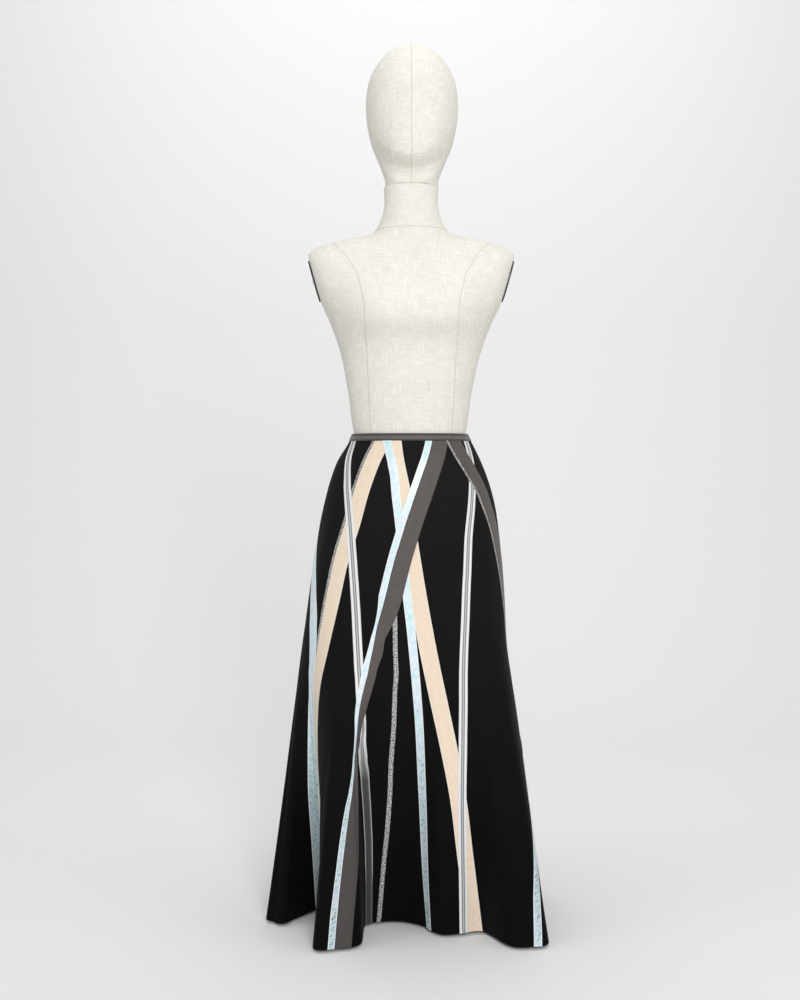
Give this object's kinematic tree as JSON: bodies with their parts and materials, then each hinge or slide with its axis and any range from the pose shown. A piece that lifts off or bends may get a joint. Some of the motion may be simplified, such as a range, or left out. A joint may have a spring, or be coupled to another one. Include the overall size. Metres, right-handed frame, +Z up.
{
  "type": "maxi skirt on a dress form",
  "caption": "Flared black maxi skirt with crossing ribbons and tapes, a bound waist and deep hem folds, worn by a limbless dress form with a head on a round stand.",
  "frame": {"origin": "on the floor, at the middle of the underside of the stand's round plate", "axes": "+Z up along the stand's pole; the front faces -Y and the wearer's left side lies at +X"},
  "size_m": [0.5012, 0.4296, 1.589],
  "materials": {
    "black_crepe": "matte black crepe",
    "binding_grosgrain": "dark olive-grey grosgrain",
    "stripe_tape": "white tape with grey and dark stripes along it",
    "peach_ribbon": "matte peach ribbon with a dotted edge",
    "aqua_satin": "pale aqua satin with white edges",
    "taupe_ribbon": "matte taupe ribbon",
    "silver_braid": "speckled silver braid",
    "cream_linen": "cream slub linen",
    "dark_metal": "dark satin metal",
    "steel_stand": "brushed steel"
  },
  "bodies": {
    "dress_form": {"skirt_front": "black_crepe", "skirt_back_left": "black_crepe", "skirt_back_right": "black_crepe", "waist_binding": "binding_grosgrain", "stripe_tape_left": "stripe_tape", "stripe_tape_right": "stripe_tape", "stripe_tape_back": "stripe_tape", "peach_ribbon_left": "peach_ribbon", "peach_ribbon_centre": "peach_ribbon", "peach_ribbon_back": "peach_ribbon", "blue_ribbon_centre": "aqua_satin", "blue_ribbon_crossing": "aqua_satin", "blue_ribbon_left": "aqua_satin", "blue_ribbon_right": "aqua_satin", "blue_ribbon_back": "aqua_satin", "taupe_ribbon_crossing": "taupe_ribbon", "taupe_ribbon_right": "taupe_ribbon", "taupe_ribbon_back": "taupe_ribbon", "silver_edge_left": "silver_braid", "silver_edge_right": "silver_braid", "silver_ribbon_centre": "silver_braid", "form_torso": "cream_linen", "form_head": "cream_linen", "arm_plate_left": "dark_metal", "arm_plate_right": "dark_metal", "stand_pole": "steel_stand", "stand_base": "steel_stand", "zip_slider": "dark_metal"},
    "zip_pull": {"zip_pull": "dark_metal"}
  },
  "joints": [
    {"name": "zip_pull_swing", "type": "hinge", "parent": "dress_form", "child": "zip_pull", "pos_m": [0, 0.05739, 0.86458], "axis": [1, 0, 0], "range_deg": [0, 130]}
  ]
}
